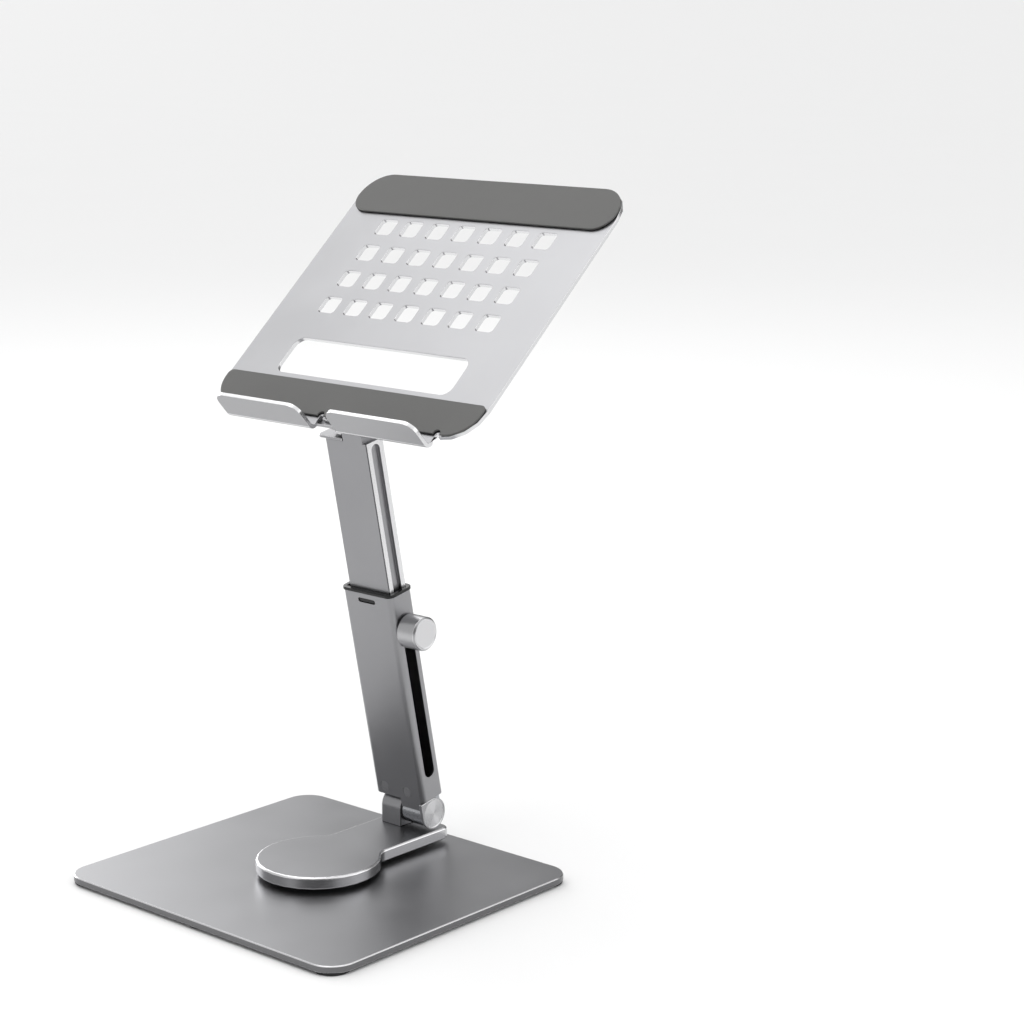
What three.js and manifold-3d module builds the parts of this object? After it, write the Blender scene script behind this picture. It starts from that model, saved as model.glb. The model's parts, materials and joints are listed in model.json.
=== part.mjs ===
// Folding tablet stand: a weighted base, a swivelling foot plate, a leaning telescopic arm with a
// clamp knob, and a perforated tray with two hooks. Millimetres, +Z up, +X to the user's right,
// -Y towards the user. The origin is the centre of the underside, on the table.
import * as THREE from 'three';
import { mergeVertices } from 'three/addons/utils/BufferGeometryUtils.js';
import Module from 'manifold-3d';

const wasm = await Module();
wasm.setup();

// ---------------------------------------------------------------- driving dimensions
const SEAT_GAP = 0.3;          // air between pieces that rest on each other in a turned group
const RUN_GAP = 0.08;          // radial clearance of a shaft in its bore
const SIDE_GAP = 0.1;          // side clearance between stacked washers, ears and knuckles

const BASE_WIDTH = 180;
const BASE_DEPTH = 160;
const BASE_THICKNESS = 3.5;
const BASE_CORNER = 12.5;
const BASE_CHAMFER = 0.5;
const FOOT_HEIGHT = 1.2;
const FOOT_RADIUS = 8;
const FOOT_EDGE = 9.5;         // foot centre to the base's edge
const POCKET_RADIUS = 22;      // round pocket under the base for the swivel's retainer
const POCKET_DEPTH = 2;
const CENTRE_PAD_RADIUS = 27;

const SWIVEL_LIFT = 2;         // bearing ring height between the base and the foot plate
const SWIVEL_THICKNESS = 6;
const SWIVEL_RADIUS = 29.5;
const SWIVEL_CHAMFER = 0.7;
const NECK_HALF_WIDTH = 17.5;
const NECK_END = 72.5;
const NECK_CORNER = 4;
const NECK_FILLET = 8;
const BOSS_RADIUS = 11;
const RING_OUTER = 24;
const RETAINER_RADIUS = 20;
const RETAINER_THICKNESS = 1.2;
const SLIP_WASHER_THICKNESS = 0.5;
const RETAINER_SCREW_CIRCLE = 7;

const HINGE_Y = 62.8;          // lower hinge axis behind the swivel's centre
const HINGE_RISE = 8.5;        // lower hinge axis above the foot plate
const ARM_LEAN = 11.3;         // degrees forward from upright
const LUG_LEFT = -12.2;
const LUG_RIGHT = 0.4;
const LUG_RADIUS = 7.4;
const LUG_SCREW_Y = 4;         // each lug screw in front of or behind the hinge axis
const LUG_SCREW_X = (LUG_LEFT + LUG_RIGHT) / 2;
const LUG_THREAD = 4.5;        // how far a lug screw enters the lug
const SCREW_SHANK = 1.5;
const SCREW_HEAD = SCREW_SHANK + RETAINER_THICKNESS - SIDE_GAP;
const SOCKET_DEPTH = 0.6;      // screwdriver socket in a countersunk head
const PIN_RADIUS = 2.5;
const NUT_POCKET_DEPTH = 5.2;  // round pocket in the lug's left end for the pivot nut
const NUT_POCKET_RADIUS = 5.2;
const BARREL_RADIUS = 7.1;
const CAP_RADIUS = 7.7;
const CAP_THICKNESS = 1.7;
const CAP_DISH_RADIUS = 6.9;   // shallow turned dish in the cap's face
const CAP_DISH_DEPTH = 0.25;

const TUBE_WIDTH = 32;
const TUBE_DEPTH = 15;
const TUBE_SETBACK = 1.2;      // the tube's middle plane behind the hinge axis
const TUBE_WALL = 1.2;
const TUBE_CORNER = 3;
const TUBE_TOP = 115.5;        // heights along the arm are measured from the lower hinge axis
const TUBE_NOTCH = 7.8;
const SLOT_WIDTH = 6.5;
const SLOT_LOW = 19.4;
const SLOT_HIGH = 104;
const PLUG_HEIGHT = 8.3;
const RIVET_RADIUS = 2.5;
const RIVET_SHANK = 1.5;
const RIVET_SINK = 0.05;       // rivet face below the tube's face
const RIVET_SPACING = 15;
const RIVET_OFFSET = -1.5;
const LATCH_WIDTH = 11;        // round-ended slit at the front of the tube, for the collar's tab
const LATCH_HEIGHT = 2.2;
const LATCH_OFFSET = -0.4;
const LATCH_BELOW_TOP = 3.6;

const COLLAR_OVERHANG = 0.6;
const COLLAR_HEIGHT = 1.5;
const COLLAR_SKIRT = 8;
const LINER_WALL = 0.5;
const TAB_SETBACK = 0.5;       // the tab's face behind the tube's face

const BAR_LENGTH = 102.2;
const BAR_BOTTOM = 89.3;
const BAR_WIDTH = 26.4;
const BAR_CORNER = 0.6;
const GROOVE_WIDTH = 5.3;
const GROOVE_DEPTH = 1.5;
const GROOVE_END = 1.6;          // from the groove's round end to the bar's shoulder
const TONGUE_LEFT = -0.9;
const TONGUE_RIGHT = 11.6;
const TONGUE_RISE = 6;       // upper hinge axis above the bar's shoulder
const TONGUE_RADIUS = 4.9;
const STOP_LEFT = -17.5;
const STOP_THICKNESS = 1.2;
const STOP_CORNER = 3;
const STOP_MARGIN = 0.3;       // stop plate's edge beyond the bar's front and back
const STOP_SCREW_SHANK = 1;
const STOP_SCREW_HEAD = 1.8;
const STOP_SCREW_LENGTH = 6;

const LOCK_HEIGHT = 96.9;
const LOCK_RADIUS = 2.5;
const LOCK_DEPTH = 10;         // how far the clamp screw enters the bar
const KNOB_RADIUS = 8.2;
const KNOB_LENGTH = 11.2;
const KNOB_BEVEL = 0.9;        // outer bevel, then a rim and a face sunk inside it
const KNOB_RIM = 0.5;
const KNOB_SINK = 0.2;
const KNOB_BORE_SHARE = 0.6;   // part of the knob's length that the screw fills
const WASHER_THICKNESS = 0.8;

const TRAY_TILT = 41.3;        // degrees from horizontal
const TRAY_WIDTH = 167.3;
const TRAY_BOTTOM = 3;         // heights up the tray start where a tablet's edge rests
const TRAY_TOP = 157;
const TRAY_THICKNESS = 2;
const TRAY_CORNER = 18;
const HOOK_INNER = 8.6;
const HOOK_OUTER = 64;
const HOOK_REACH = 15.2;
const HOOK_DROP = 3.6;         // underside of a hook below the tablet's edge
const HOOK_BEND = 1.6;         // inside bend radius
const HOOK_CORNER = 6;
const RELIEF_WIDTH = 2.4;
const RELIEF_TOP = 5.5;
const HOLE_COLUMNS = 7;
const HOLE_ROWS = 4;
const HOLE_PITCH_X = 17;
const HOLE_PITCH_T = 17.4;
const HOLE_WIDTH = 10.8;
const HOLE_HEIGHT = 10.2;
const HOLE_CORNER = 2;
const HOLE_TOP_ROW = 122;
const WINDOW_WIDTH = 112;
const WINDOW_LOW = 26.2;
const WINDOW_HIGH = 48.1;
const WINDOW_CORNER = 5;
const PAD_THICKNESS = 1;
const PAD_INSET = 0.8;
const TOP_PAD_LOW = 130.6;
const BOTTOM_PAD_LOW = 3.8;
const BOTTOM_PAD_HIGH = 22.9;
const PAD_INNER_CORNER = 12;

const TRAY_AXIS_T = 9.6;       // upper hinge axis up the tray
const TRAY_AXIS_BELOW = 8.9;   // upper hinge axis behind the tray's back face
const LEAF_HALF_WIDTH = 28;
const LEAF_LOW = 1.5;
const LEAF_HIGH = 24.5;
const LEAF_THICKNESS = 2.2;
const LEAF_CORNER = 4;
const EAR_RADIUS = TONGUE_RISE - STOP_THICKNESS - SEAT_GAP - SIDE_GAP;   // clears the stop plate
const LEFT_EAR_WIDTH = 5;
const RIGHT_EAR_WIDTH = 3;
const TRAY_PIN_RADIUS = 2;
const FRICTION_DISC = 0.4;
const TRAY_SCREW_X = 22;
const TRAY_SCREW_INSET = 5;
const TRAY_SCREW_RADIUS = 1.5;

// ---------------------------------------------------------------- derived positions
const BASE_TOP = FOOT_HEIGHT + BASE_THICKNESS;
const POCKET_TOP = FOOT_HEIGHT + POCKET_DEPTH;
const RETAINER_TOP = POCKET_TOP - SLIP_WASHER_THICKNESS;
const RETAINER_BOTTOM = RETAINER_TOP - RETAINER_THICKNESS;
const SWIVEL_BOTTOM = BASE_TOP + SWIVEL_LIFT;
const SWIVEL_TOP = SWIVEL_BOTTOM + SWIVEL_THICKNESS;
const HINGE_Z = SWIVEL_TOP + HINGE_RISE;

const TUBE_SIDE = TUBE_WIDTH / 2;
const TUBE_FACE = TUBE_DEPTH / 2;
const LINER_WIDTH = TUBE_WIDTH - 2 * TUBE_WALL - 2 * SIDE_GAP;
const LINER_DEPTH = TUBE_DEPTH - 2 * TUBE_WALL - 2 * SIDE_GAP;
const BAR_DEPTH = LINER_DEPTH - 2 * LINER_WALL - 2 * SIDE_GAP;
const BAR_SIDE = LINER_WIDTH / 2 - LINER_WALL - SIDE_GAP;   // the clamp holds the bar to the right
const BAR_LEFT = BAR_SIDE - BAR_WIDTH;
const BAR_MIDDLE = (BAR_SIDE + BAR_LEFT) / 2;
const BAR_TOP = BAR_BOTTOM + BAR_LENGTH;
const STOP_SCREW_X = (TONGUE_LEFT + BAR_LEFT) / 2;
const TRAY_AXIS_S = BAR_TOP + TONGUE_RISE;

const PLUG_LOW = TUBE_NOTCH + 2 * SIDE_GAP;
const RIVET_HEIGHT = PLUG_LOW + PLUG_HEIGHT / 2;
const BARREL_LEFT = LUG_RIGHT + FRICTION_DISC + WASHER_THICKNESS / 2 + 2 * SIDE_GAP;
const CAP_LEFT = TUBE_SIDE - CAP_THICKNESS;
const BARREL_RIGHT = CAP_LEFT - 2 * SIDE_GAP;
const KNOB_LEFT = TUBE_SIDE + WASHER_THICKNESS + 2 * SIDE_GAP;
const SPIGOT_RADIUS = 3.9;
const SPIGOT_LENGTH = 1;
const NUT_LENGTH = 3.2;
const NUT_RADIUS = 4.6;

const TRAY_AXIS_W = -(TRAY_THICKNESS + TRAY_AXIS_BELOW);
const LEAF_TOP = -(TRAY_THICKNESS + SEAT_GAP);
const LEAF_BOTTOM = LEAF_TOP - LEAF_THICKNESS;
const LEFT_EAR_RIGHT = TONGUE_LEFT - FRICTION_DISC - 2 * SIDE_GAP;
const LEFT_EAR_LEFT = LEFT_EAR_RIGHT - LEFT_EAR_WIDTH;
const RIGHT_EAR_LEFT = TONGUE_RIGHT + FRICTION_DISC + 2 * SIDE_GAP;
const RIGHT_EAR_RIGHT = RIGHT_EAR_LEFT + RIGHT_EAR_WIDTH;
const TRAY_PIN_RIGHT = RIGHT_EAR_RIGHT - 1;
const TRAY_NUT_LENGTH = 2.8;
const TRAY_NUT_RADIUS = EAR_RADIUS - 0.6;
const PAD_LOW = SEAT_GAP;

// ---------------------------------------------------------------- materials
function metal(color, roughness) {
  return new THREE.MeshStandardMaterial({ color, roughness, metalness: 1 });
}

function plastic(color, roughness) {
  return new THREE.MeshStandardMaterial({ color, roughness, metalness: 0 });
}

const satinGrey = metal(0x9a9b9d, 0.38);
const darkGrey = metal(0x77787a, 0.4);
const brightMetal = metal(0xd4d5d7, 0.2);
const steel = metal(0xb4b5b8, 0.3);
const silicone = plastic(0x5f5f5e, 0.8);
const rubber = plastic(0x2a2a2b, 0.85);
const blackPlastic = plastic(0x1b1b1c, 0.35);
const acetal = plastic(0x303032, 0.5);

// ---------------------------------------------------------------- geometry helpers
function signedVolume(geometry) {
  const p = geometry.attributes.position;
  const index = geometry.index.array;
  const a = new THREE.Vector3();
  const b = new THREE.Vector3();
  const c = new THREE.Vector3();
  let volume = 0;
  for (let i = 0; i < index.length; i += 3) {
    a.fromBufferAttribute(p, index[i]);
    b.fromBufferAttribute(p, index[i + 1]);
    c.fromBufferAttribute(p, index[i + 2]);
    volume += a.dot(b.cross(c)) / 6;
  }
  return volume;
}

// A closed, merged geometry with no zero-area triangles and its faces pointing out.
function closed(source) {
  const bare = source.clone();
  bare.deleteAttribute('normal');
  bare.deleteAttribute('uv');
  const merged = mergeVertices(bare, 1e-4);
  const old = merged.index.array;
  const kept = [];
  for (let i = 0; i < old.length; i += 3) {
    const [a, b, c] = [old[i], old[i + 1], old[i + 2]];
    if (a !== b && b !== c && c !== a) {
      kept.push(a, b, c);
    }
  }
  merged.setIndex(kept);
  if (signedVolume(merged) < 0) {
    for (let i = 0; i < kept.length; i += 3) {
      [kept[i], kept[i + 1]] = [kept[i + 1], kept[i]];
    }
    merged.setIndex(kept);
  }
  return merged;
}

function toSolid(source) {
  const geometry = closed(source);
  const mesh = new wasm.Mesh({
    numProp: 3,
    vertProperties: new Float32Array(geometry.attributes.position.array),
    triVerts: new Uint32Array(geometry.index.array),
  });
  return new wasm.Manifold(mesh);
}

function fromSolid(manifold) {
  const mesh = manifold.getMesh();
  const geometry = new THREE.BufferGeometry();
  geometry.setAttribute('position', new THREE.BufferAttribute(mesh.vertProperties, 3));
  geometry.setIndex(new THREE.BufferAttribute(mesh.triVerts, 1));
  return geometry;
}

function cut(body, ...tools) {
  let result = toSolid(body);
  for (const tool of tools) {
    result = result.subtract(toSolid(tool));
  }
  return fromSolid(result);
}

function join(first, ...others) {
  let result = toSolid(first);
  for (const other of others) {
    result = result.add(toSolid(other));
  }
  return fromSolid(result);
}

function common(first, second) {
  return fromSolid(toSolid(first).intersect(toSolid(second)));
}

function box(x0, x1, y0, y1, z0, z1) {
  const geometry = new THREE.BoxGeometry(x1 - x0, y1 - y0, z1 - z0);
  return geometry.translate((x0 + x1) / 2, (y0 + y1) / 2, (z0 + z1) / 2);
}

function roundedRect(width, height, radius, cx = 0, cy = 0) {
  const w = width / 2 - radius;
  const h = height / 2 - radius;
  const shape = new THREE.Shape();
  shape.absarc(cx + w, cy - h, radius, -Math.PI / 2, 0, false);
  shape.absarc(cx + w, cy + h, radius, 0, Math.PI / 2, false);
  shape.absarc(cx - w, cy + h, radius, Math.PI / 2, Math.PI, false);
  shape.absarc(cx - w, cy - h, radius, Math.PI, Math.PI * 1.5, false);
  shape.closePath();
  return shape;
}

// Extrudes a shape from z0 to z1, with an optional chamfer on both rims.
function prism(shape, z0, z1, chamfer = 0, curveSegments = 8) {
  const geometry = new THREE.ExtrudeGeometry(shape, {
    depth: z1 - z0 - 2 * chamfer,
    curveSegments,
    bevelEnabled: chamfer > 0,
    bevelThickness: chamfer,
    bevelSize: chamfer,
    bevelOffset: -chamfer,
    bevelSegments: 1,
  });
  return geometry.translate(0, 0, z0 + chamfer);
}

// A shape drawn in (y, z) and extruded along X.
function prismX(shape, x0, x1, curveSegments = 8) {
  const turn = new THREE.Matrix4().makeBasis(
    new THREE.Vector3(0, 1, 0),
    new THREE.Vector3(0, 0, 1),
    new THREE.Vector3(1, 0, 0),
  );
  return prism(shape, x0, x1, 0, curveSegments).applyMatrix4(turn);
}

// A shape drawn in (x, z) and extruded along Y.
function prismY(shape, y0, y1, curveSegments = 8) {
  const turn = new THREE.Matrix4().makeBasis(
    new THREE.Vector3(1, 0, 0),
    new THREE.Vector3(0, 0, 1),
    new THREE.Vector3(0, -1, 0),
  );
  return prism(shape, -y1, -y0, 0, curveSegments).applyMatrix4(turn);
}

// Round pieces: the profile lists [radius, position along the axis] and is closed or meets the axis.
function lathe(profile, segments) {
  return new THREE.LatheGeometry(profile.map(([r, y]) => new THREE.Vector2(r, y)), segments);
}

function latheX(profile, segments = 24) {
  return lathe(profile, segments).rotateZ(-Math.PI / 2);
}

function latheZ(profile, segments = 24) {
  return lathe(profile, segments).rotateX(Math.PI / 2);
}

function rodX(radius, x0, x1, segments = 24) {
  return latheX([[0, x0], [radius, x0], [radius, x1], [0, x1]], segments);
}

function rodZ(radius, z0, z1, segments = 24) {
  return latheZ([[0, z0], [radius, z0], [radius, z1], [0, z1]], segments);
}

function washerX(outer, inner, x0, x1, segments = 24) {
  return latheX([[inner, x0], [outer, x0], [outer, x1], [inner, x1], [inner, x0]], segments);
}

function washerZ(outer, inner, z0, z1, segments = 40) {
  return latheZ([[inner, z0], [outer, z0], [outer, z1], [inner, z1], [inner, z0]], segments);
}

// An upright D: a half circle on top of straight sides, drawn round the origin in (y, z).
function archShape(radius, floor) {
  const shape = new THREE.Shape();
  shape.moveTo(-radius, floor);
  shape.lineTo(radius, floor);
  shape.absarc(0, 0, radius, 0, Math.PI, false);
  shape.closePath();
  return shape;
}

function hexNut(radius, bore, x0, x1) {
  const shape = new THREE.Shape();
  for (let i = 0; i < 6; i += 1) {
    const angle = (i * Math.PI) / 3;
    const [y, z] = [radius * Math.cos(angle), radius * Math.sin(angle)];
    if (i === 0) {
      shape.moveTo(y, z);
    } else {
      shape.lineTo(y, z);
    }
  }
  shape.closePath();
  const hole = new THREE.Path();
  hole.absarc(0, 0, bore, 0, Math.PI * 2, true);
  shape.holes.push(hole);
  return prismX(shape, x0, x1);
}

// Countersunk screw standing on its head: head face at z = 0, shank rising to length.
function countersunkScrew(shank, head, length) {
  const cone = head - shank;
  return latheZ([
    [0, SOCKET_DEPTH], [shank * 0.7, SOCKET_DEPTH], [shank * 0.7, 0], [head, 0],
    [shank, cone], [shank, length], [0, length],
  ], 16);
}

function countersunkHole(shank, head, length) {
  const cone = head - shank;
  return latheZ([
    [0, -1], [head, -1], [head, 0], [shank, cone], [shank, length], [0, length],
  ], 16);
}

function piece(parent, name, geometry, material) {
  const mesh = new THREE.Mesh(closed(geometry), material.clone());
  mesh.name = name;
  parent.add(mesh);
  return mesh;
}

// ---------------------------------------------------------------- base
function basePlate() {
  const plate = prism(
    roundedRect(BASE_WIDTH, BASE_DEPTH, BASE_CORNER), FOOT_HEIGHT, BASE_TOP, BASE_CHAMFER, 10,
  );
  const pocket = rodZ(POCKET_RADIUS, FOOT_HEIGHT - 1, POCKET_TOP, 40);
  const bore = rodZ(BOSS_RADIUS + RUN_GAP, FOOT_HEIGHT - 1, BASE_TOP + 1, 40);
  return cut(plate, pocket, bore);
}

function foot(x, y) {
  return rodZ(FOOT_RADIUS, 0, FOOT_HEIGHT).translate(x, y, 0);
}

function addBase(parent) {
  piece(parent, 'base_plate', basePlate(), darkGrey);
  const footX = BASE_WIDTH / 2 - FOOT_EDGE;
  const footY = BASE_DEPTH / 2 - FOOT_EDGE;
  const columns = { left: -footX, middle: 0, right: footX };
  for (const [column, x] of Object.entries(columns)) {
    piece(parent, `foot_front_${column}`, foot(x, -footY), rubber);
    piece(parent, `foot_rear_${column}`, foot(x, footY), rubber);
  }
  piece(parent, 'centre_pad', rodZ(CENTRE_PAD_RADIUS, 0, FOOT_HEIGHT, 40), rubber);
  piece(parent, 'bearing_ring', washerZ(RING_OUTER, BOSS_RADIUS + 1, BASE_TOP, SWIVEL_BOTTOM), acetal);
  piece(
    parent, 'slip_washer',
    washerZ(RETAINER_RADIUS, BOSS_RADIUS + 4 * SIDE_GAP, RETAINER_TOP + RUN_GAP, POCKET_TOP), acetal,
  );
}

// ---------------------------------------------------------------- swivelling foot plate
function swivelOutline() {
  const offset = NECK_HALF_WIDTH + NECK_FILLET;
  const reach = SWIVEL_RADIUS + NECK_FILLET;
  const filletY = Math.sqrt(reach * reach - offset * offset);
  const meet = Math.atan2(filletY, offset);
  const endX = NECK_HALF_WIDTH - NECK_CORNER;
  const endY = NECK_END - NECK_CORNER;
  const shape = new THREE.Shape();
  shape.moveTo(NECK_HALF_WIDTH, filletY);
  shape.absarc(endX, endY, NECK_CORNER, 0, Math.PI / 2, false);
  shape.absarc(-endX, endY, NECK_CORNER, Math.PI / 2, Math.PI, false);
  shape.absarc(-offset, filletY, NECK_FILLET, 0, -meet, true);
  shape.absarc(0, 0, SWIVEL_RADIUS, Math.PI - meet, 2 * Math.PI + meet, false);
  shape.absarc(offset, filletY, NECK_FILLET, Math.PI + meet, Math.PI, true);
  shape.closePath();
  return shape;
}

function retainerScrewPlaces() {
  return [0, 1, 2].map((i) => {
    const angle = Math.PI / 2 + (i * 2 * Math.PI) / 3;
    return [RETAINER_SCREW_CIRCLE * Math.cos(angle), RETAINER_SCREW_CIRCLE * Math.sin(angle)];
  });
}

function swivelPlate() {
  const plate = prism(swivelOutline(), SWIVEL_BOTTOM, SWIVEL_TOP, SWIVEL_CHAMFER, 10);
  const boss = rodZ(BOSS_RADIUS, RETAINER_TOP, SWIVEL_BOTTOM + 1, 40);
  const threads = retainerScrewPlaces().map(([x, y]) => (
    rodZ(SCREW_SHANK + RUN_GAP, RETAINER_TOP - 1, SWIVEL_BOTTOM + 1, 16).translate(x, y, 0)
  ));
  const lugHoles = [-LUG_SCREW_Y, LUG_SCREW_Y].map((dy) => (
    countersunkHole(SCREW_SHANK + RUN_GAP, SCREW_HEAD + RUN_GAP, SWIVEL_THICKNESS + 1)
      .translate(LUG_SCREW_X, HINGE_Y + dy, SWIVEL_BOTTOM)
  ));
  return cut(join(plate, boss), ...threads, ...lugHoles);
}

function retainingDisc() {
  const disc = rodZ(RETAINER_RADIUS, RETAINER_BOTTOM, RETAINER_TOP, 40);
  const holes = retainerScrewPlaces().map(([x, y]) => (
    countersunkHole(SCREW_SHANK + RUN_GAP, SCREW_HEAD + RUN_GAP, 3).translate(x, y, RETAINER_BOTTOM)
  ));
  return cut(disc, ...holes);
}

function hingeLug() {
  const body = prismX(archShape(LUG_RADIUS, -HINGE_RISE), LUG_LEFT, LUG_RIGHT, 16);
  const bore = rodX(PIN_RADIUS + RUN_GAP, LUG_LEFT - 1, LUG_RIGHT + 1);
  const nutPocket = rodX(NUT_POCKET_RADIUS, LUG_LEFT - 1, LUG_LEFT + NUT_POCKET_DEPTH);
  const threadEnd = -HINGE_RISE + LUG_THREAD + 0.5;
  const threads = [-LUG_SCREW_Y, LUG_SCREW_Y].map((dy) => (
    rodZ(SCREW_SHANK + RUN_GAP, -HINGE_RISE - 1, threadEnd, 16).translate(LUG_SCREW_X, dy, 0)
  ));
  return cut(body, bore, nutPocket, ...threads).translate(0, HINGE_Y, HINGE_Z);
}

function addSwivel(parent) {
  piece(parent, 'swivel_plate', swivelPlate(), darkGrey);
  piece(parent, 'retaining_disc', retainingDisc(), steel);
  retainerScrewPlaces().forEach(([x, y], i) => {
    const length = SWIVEL_BOTTOM - RETAINER_BOTTOM;
    const screw = countersunkScrew(SCREW_SHANK, SCREW_HEAD, length).translate(x, y, RETAINER_BOTTOM);
    piece(parent, `retainer_screw_${i + 1}`, screw, steel);
  });
  piece(parent, 'hinge_lug', hingeLug(), darkGrey);
  [-LUG_SCREW_Y, LUG_SCREW_Y].forEach((dy, i) => {
    const length = SWIVEL_THICKNESS + LUG_THREAD;
    const screw = countersunkScrew(SCREW_SHANK, SCREW_HEAD, length)
      .translate(LUG_SCREW_X, HINGE_Y + dy, SWIVEL_BOTTOM);
    piece(parent, `lug_screw_${i + 1}`, screw, steel);
  });
}

// ---------------------------------------------------------------- lower arm (outer tube)
// In the arm's group X is across, Y is towards the back and Z runs up the arm from the hinge axis.
// The tube and all that slides in it stand in a group of their own, set back from that axis.

// The round-ended slit near the tube's top, or with a margin the tab that fits it.
function latchPill(margin, y0, y1) {
  const width = LATCH_WIDTH - 2 * margin;
  const height = LATCH_HEIGHT - 2 * margin;
  const middle = TUBE_TOP - LATCH_BELOW_TOP;
  return prismY(roundedRect(width, height, height / 2 - 0.01, LATCH_OFFSET, middle), y0, y1);
}

function lowerTube() {
  const outer = roundedRect(TUBE_WIDTH, TUBE_DEPTH, TUBE_CORNER);
  const inner = roundedRect(
    TUBE_WIDTH - 2 * TUBE_WALL, TUBE_DEPTH - 2 * TUBE_WALL, TUBE_CORNER - TUBE_WALL,
  );
  outer.holes.push(inner);
  const tube = prism(outer, 0, TUBE_TOP, 0, 4);
  const lugRoom = box(-TUBE_SIDE - 1, BARREL_LEFT - 0.6, -TUBE_FACE - 1, TUBE_FACE + 1, -1, TUBE_NOTCH);
  const rearRoom = box(-TUBE_SIDE - 1, TUBE_SIDE + 1, -TUBE_SETBACK, TUBE_FACE + 1, -1, TUBE_NOTCH);
  const barrelRoom = rodX(BARREL_RADIUS + SIDE_GAP, 0, TUBE_SIDE + 1, 40)
    .translate(0, -TUBE_SETBACK, 0);
  const capRoom = box(
    CAP_LEFT - SIDE_GAP, TUBE_SIDE + 1, -TUBE_FACE - 1, TUBE_FACE + 1, -1, TUBE_NOTCH,
  );
  const slotMiddle = (SLOT_LOW + SLOT_HIGH) / 2;
  const slot = prismX(
    roundedRect(SLOT_WIDTH, SLOT_HIGH - SLOT_LOW, SLOT_WIDTH / 2 - 0.01, 0, slotMiddle),
    TUBE_SIDE - TUBE_WALL - 1, TUBE_SIDE + 1,
  );
  const latch = latchPill(0, -TUBE_FACE - 1, -TUBE_FACE + TUBE_WALL + 1);
  const rivetHoles = rivetPlaces().map((x) => (
    rodZ(RIVET_RADIUS + SIDE_GAP, -TUBE_FACE - 1, TUBE_FACE + 1, 24)
      .rotateX(Math.PI / 2).translate(x, 0, RIVET_HEIGHT)
  ));
  return cut(tube, lugRoom, rearRoom, barrelRoom, capRoom, slot, latch, ...rivetHoles);
}

function rivetPlaces() {
  return [RIVET_OFFSET - RIVET_SPACING / 2, RIVET_OFFSET + RIVET_SPACING / 2];
}

function rivet(x) {
  const face = TUBE_FACE - RIVET_SINK;
  const shoulder = TUBE_FACE - TUBE_WALL;
  return latheZ([
    [0, -face], [RIVET_RADIUS, -face], [RIVET_RADIUS, -shoulder], [RIVET_SHANK, -shoulder],
    [RIVET_SHANK, shoulder], [RIVET_RADIUS, shoulder], [RIVET_RADIUS, face], [0, face],
  ], 24).rotateX(Math.PI / 2).translate(x, 0, RIVET_HEIGHT);
}

// Riveted plug in the tube's end, carrying the hinge barrel on its right-hand side.
function hingeKnuckle() {
  const width = TUBE_WIDTH - 2 * TUBE_WALL - SEAT_GAP;
  const depth = TUBE_DEPTH - 2 * TUBE_WALL - SEAT_GAP;
  const corner = TUBE_CORNER - TUBE_WALL;
  const outline = roundedRect(width, depth, corner);
  const plug = prism(outline, PLUG_LOW, PLUG_LOW + PLUG_HEIGHT, 0, 4);
  const barrel = rodX(BARREL_RADIUS, BARREL_LEFT, BARREL_RIGHT, 40);
  const web = common(
    prism(outline, 0, PLUG_LOW + 1, 0, 4),
    box(BARREL_LEFT, BARREL_RIGHT, -TUBE_FACE, TUBE_FACE, -1, PLUG_LOW + 2),
  );
  const bore = rodX(PIN_RADIUS + RUN_GAP, BARREL_LEFT - 1, BARREL_RIGHT + 1);
  const recess = rodX(SPIGOT_RADIUS + SIDE_GAP, BARREL_RIGHT - SPIGOT_LENGTH, BARREL_RIGHT + 1);
  const shanks = rivetPlaces().map((x) => (
    rodZ(RIVET_SHANK + SIDE_GAP, -TUBE_DEPTH, TUBE_DEPTH, 24)
      .rotateX(Math.PI / 2).translate(x, 0, RIVET_HEIGHT)
  ));
  const stem = cut(join(plug, web), ...shanks).translate(0, TUBE_SETBACK, 0);
  return cut(join(stem, barrel), bore, recess);
}

// Round end plate whose front edge runs straight up to the tube, with a spigot in the barrel.
function hingeCap() {
  const disc = rodX(CAP_RADIUS, CAP_LEFT, TUBE_SIDE, 48);
  const front = box(CAP_LEFT, TUBE_SIDE, -CAP_RADIUS, 0, 0, TUBE_NOTCH - SIDE_GAP);
  const spigot = rodX(SPIGOT_RADIUS, CAP_LEFT - SPIGOT_LENGTH, CAP_LEFT + CAP_THICKNESS / 2);
  const dish = rodX(CAP_DISH_RADIUS, TUBE_SIDE - CAP_DISH_DEPTH, TUBE_SIDE + 1, 48);
  return cut(join(disc, front, spigot), dish);
}

function tubeCollar() {
  const corner = TUBE_CORNER - TUBE_WALL;
  const flange = roundedRect(
    TUBE_WIDTH + 2 * COLLAR_OVERHANG, TUBE_DEPTH + 2 * COLLAR_OVERHANG, TUBE_CORNER + COLLAR_OVERHANG,
  );
  const opening = roundedRect(2 * (BAR_SIDE + SIDE_GAP), BAR_DEPTH + 2 * SIDE_GAP, BAR_CORNER);
  const rimBottom = TUBE_TOP + SIDE_GAP;
  const rim = prism(flange, rimBottom, rimBottom + COLLAR_HEIGHT, 0, 4);
  const skirt = prism(
    roundedRect(LINER_WIDTH, LINER_DEPTH, corner), TUBE_TOP - COLLAR_SKIRT, TUBE_TOP + 1, 0, 4,
  );
  const tab = latchPill(SIDE_GAP, -TUBE_FACE + TAB_SETBACK, -LINER_DEPTH / 2 + LINER_WALL / 2);
  const passage = prism(opening, TUBE_TOP - COLLAR_SKIRT - 1, TUBE_TOP + COLLAR_HEIGHT + 2, 0, 4);
  return cut(join(rim, skirt, tab), passage);
}

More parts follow.
